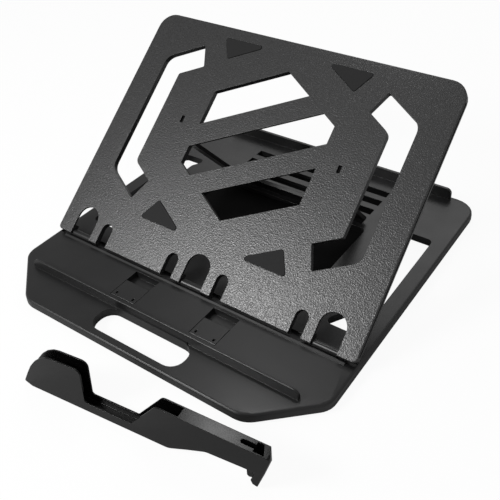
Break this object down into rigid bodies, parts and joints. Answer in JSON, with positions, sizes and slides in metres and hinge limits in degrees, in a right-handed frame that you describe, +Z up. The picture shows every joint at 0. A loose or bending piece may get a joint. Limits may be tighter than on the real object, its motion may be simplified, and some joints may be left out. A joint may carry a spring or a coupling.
{
  "type": "laptop stand",
  "caption": "Folding black plastic laptop stand: tilting vented panel on a grooved base, support leg, flip-up stops and a loose phone holder.",
  "frame": {"origin": "middle of the whole object's footprint, on the surface that the feet stand on", "axes": "+X to the user's right along the hinge line, +Y away from the user, +Z up"},
  "size_m": [0.344, 0.411, 0.1773],
  "materials": {
    "matte_plastic": "smooth satin moulded ABS",
    "grained_plastic": "coarse spark-eroded grain on moulded ABS",
    "rubber": "smooth matt rubber",
    "steel": "plain drawn rod"
  },
  "bodies": {
    "base": {"base_tray": "matte_plastic", "foot_front_left": "rubber", "foot_front_right": "rubber", "foot_middle_left": "rubber", "foot_middle_right": "rubber", "foot_rear_left": "rubber", "foot_rear_right": "rubber", "hinge_pin_left": "steel", "hinge_pin_center": "steel", "hinge_pin_right": "steel", "stop_pin_left": "steel", "stop_pin_right": "steel"},
    "panel": {"top_panel": "grained_plastic", "grip_pad_upper_left": "rubber", "grip_pad_upper_right": "rubber", "grip_pad_lower_left": "rubber", "grip_pad_lower_right": "rubber", "leg_pin_left": "steel", "leg_pin_right": "steel"},
    "leg": {"support_leg": "matte_plastic"},
    "stop_left": {"stop_flap_left": "matte_plastic"},
    "stop_right": {"stop_flap_right": "matte_plastic"},
    "holder": {"phone_holder": "matte_plastic"}
  },
  "joints": [
    {"name": "panel_tilt", "type": "hinge", "parent": "base", "child": "panel", "pos_m": [0, -0.05297, 0.012], "axis": [1, 0, 0], "range_deg": [-39.6, 4]},
    {"name": "leg_swing", "type": "hinge", "parent": "panel", "child": "leg", "pos_m": [0, 0.04421, 0.09525], "axis": [1, 0, 0], "range_deg": [-9, 87.5]},
    {"name": "stop_flap_left_flip", "type": "hinge", "parent": "base", "child": "stop_left", "pos_m": [-0.0459, -0.09647, 0.0084], "axis": [1, 0, 0], "range_deg": [0, 95]},
    {"name": "stop_flap_right_flip", "type": "hinge", "parent": "base", "child": "stop_right", "pos_m": [0.0459, -0.09647, 0.0084], "axis": [1, 0, 0], "range_deg": [0, 95]},
    {"name": "holder_lift", "type": "slide", "parent": "base", "child": "holder", "axis": [0, 0, 1], "range_m": [0, 0.06]}
  ],
  "couplings": [
    {"joint": "leg_swing", "follows": "panel_tilt", "ratio": -2.1945}
  ]
}
